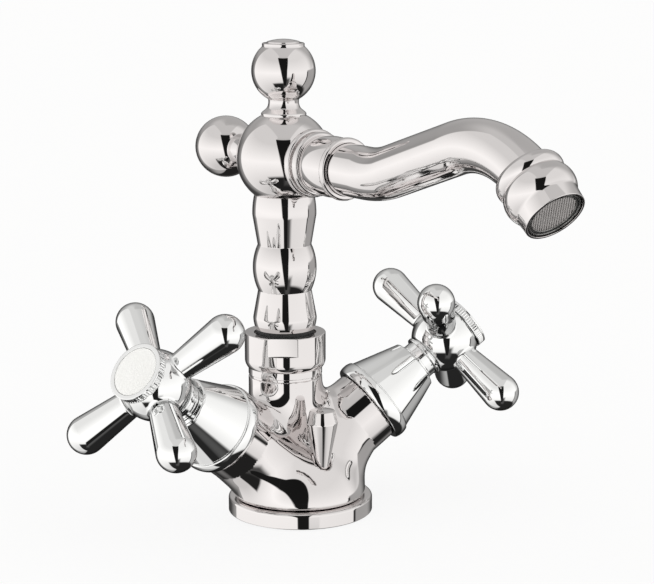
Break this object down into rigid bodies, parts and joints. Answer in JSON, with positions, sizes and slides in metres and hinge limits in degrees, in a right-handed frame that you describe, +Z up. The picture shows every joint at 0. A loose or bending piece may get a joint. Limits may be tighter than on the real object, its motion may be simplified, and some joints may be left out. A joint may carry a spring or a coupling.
{
  "type": "bidet mixer tap",
  "caption": "Deck mounted two-handle bidet mixer with cross handles, turned swivel column, swan spout and a pop-up waste lift.",
  "frame": {"origin": "centre of the base ring on the mounting face", "axes": "+Z up out of the deck, -Y towards the user along the spout, +X to the cold side"},
  "size_m": [0.1662, 0.1936, 0.162],
  "materials": {
    "chrome_plate": "bright mirror chrome plate over cast and turned brass",
    "index_porcelain": "glazed white porcelain",
    "ceramic_disc": "lapped ceramic",
    "turned_brass": "turned brass, unplated",
    "steel": "stainless steel",
    "seal_rubber": "black sealing rubber",
    "bush_plastic": "moulded pale plastic"
  },
  "bodies": {
    "base": {"mixer_body": "chrome_plate", "base_ring": "chrome_plate", "base_gasket": "seal_rubber", "swivel_nut": "chrome_plate", "slide_ring": "bush_plastic", "popup_guide": "bush_plastic", "hot_seat_seal": "seal_rubber", "hot_fixed_disc": "ceramic_disc", "hot_bonnet_washer": "seal_rubber", "hot_valve_bonnet": "turned_brass", "hot_bell_shroud": "chrome_plate", "cold_seat_seal": "seal_rubber", "cold_fixed_disc": "ceramic_disc", "cold_bonnet_washer": "seal_rubber", "cold_valve_bonnet": "turned_brass", "cold_bell_shroud": "chrome_plate"},
    "spout": {"column": "chrome_plate", "column_o_rings": "seal_rubber", "spout_ball": "chrome_plate", "finial": "chrome_plate", "rear_knob": "chrome_plate", "spout_collar": "chrome_plate", "spout_tube": "chrome_plate", "nozzle": "chrome_plate", "aerator_housing": "bush_plastic", "aerator_washer": "seal_rubber", "flow_core": "bush_plastic", "aerator_screen": "steel"},
    "hot_handle": {"hot_cross_handle": "chrome_plate", "hot_handle_screw": "steel", "hot_index_ring": "chrome_plate", "hot_index_disc": "index_porcelain", "hot_spindle": "turned_brass", "hot_moving_disc": "ceramic_disc", "hot_spindle_seal": "seal_rubber", "hot_spindle_clip": "steel"},
    "cold_handle": {"cold_cross_handle": "chrome_plate", "cold_handle_screw": "steel", "cold_index_ring": "chrome_plate", "cold_index_disc": "index_porcelain", "cold_spindle": "turned_brass", "cold_moving_disc": "ceramic_disc", "cold_spindle_seal": "seal_rubber", "cold_spindle_clip": "steel"},
    "popup": {"popup_knob": "chrome_plate", "popup_rod": "steel"}
  },
  "joints": [
    {"name": "spout_swivel", "type": "hinge", "parent": "base", "child": "spout", "pos_m": [0, 0.009, 0.06], "axis": [0, 0, 1], "continuous": true},
    {"name": "hot_handle_turn", "type": "hinge", "parent": "base", "child": "hot_handle", "pos_m": [0, 0.009, 0.0097], "axis": [0.7912, 0.1783, -0.585], "range_deg": [0, 90]},
    {"name": "cold_handle_turn", "type": "hinge", "parent": "base", "child": "cold_handle", "pos_m": [0, 0.009, 0.0097], "axis": [0.7912, -0.1783, 0.585], "range_deg": [0, 90]},
    {"name": "popup_lift", "type": "slide", "parent": "base", "child": "popup", "axis": [0, 0, 1], "range_m": [0, 0.012]}
  ]
}
